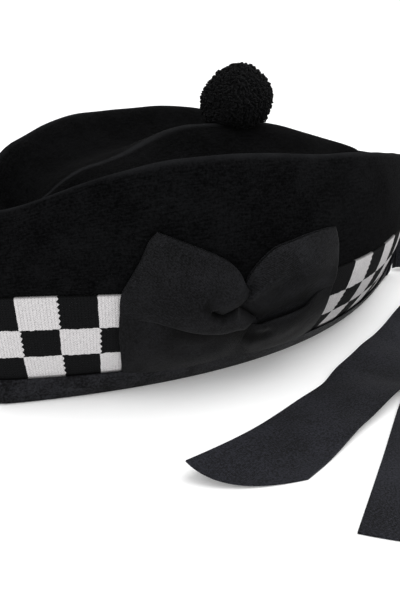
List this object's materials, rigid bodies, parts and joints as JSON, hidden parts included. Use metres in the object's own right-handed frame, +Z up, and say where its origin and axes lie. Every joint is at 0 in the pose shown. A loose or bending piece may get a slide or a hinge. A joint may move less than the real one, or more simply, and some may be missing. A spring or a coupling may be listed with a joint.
{
  "type": "knitted fore-and-aft cap with a diced band, pompom, side bow and ribbon tails",
  "caption": "Boat-shaped milled wool cap, folded lengthwise on top, with a diced band, ribbon binding, pompom, side bow and two ribbon tails.",
  "frame": {"origin": "middle of the footprint, on the surface that the cap and its tails lie on", "axes": "+X towards the cap's back point, +Y away from the side with the bow, +Z up"},
  "size_m": [0.3474, 0.284, 0.1422],
  "materials": {
    "milled_wool": "black milled knitted wool, matt",
    "diced_knit": "black and white knitted checks, matt",
    "binding_ribbon": "black ribbon, faint sheen",
    "pompom_wool": "black looped wool, matt",
    "bow_ribbon": "black twill ribbon, faint sheen",
    "tail_ribbon": "black woven ribbon, faint sheen"
  },
  "bodies": {
    "root": {"crown": "milled_wool", "dice_band": "diced_knit", "binding": "binding_ribbon", "pompom": "pompom_wool", "bow_upper_front": "bow_ribbon", "bow_lower_front": "bow_ribbon", "bow_upper_back": "bow_ribbon", "bow_lower_back": "bow_ribbon", "tail_tab": "tail_ribbon", "tail_upper": "tail_ribbon", "tail_lower": "tail_ribbon"}
  },
  "joints": []
}
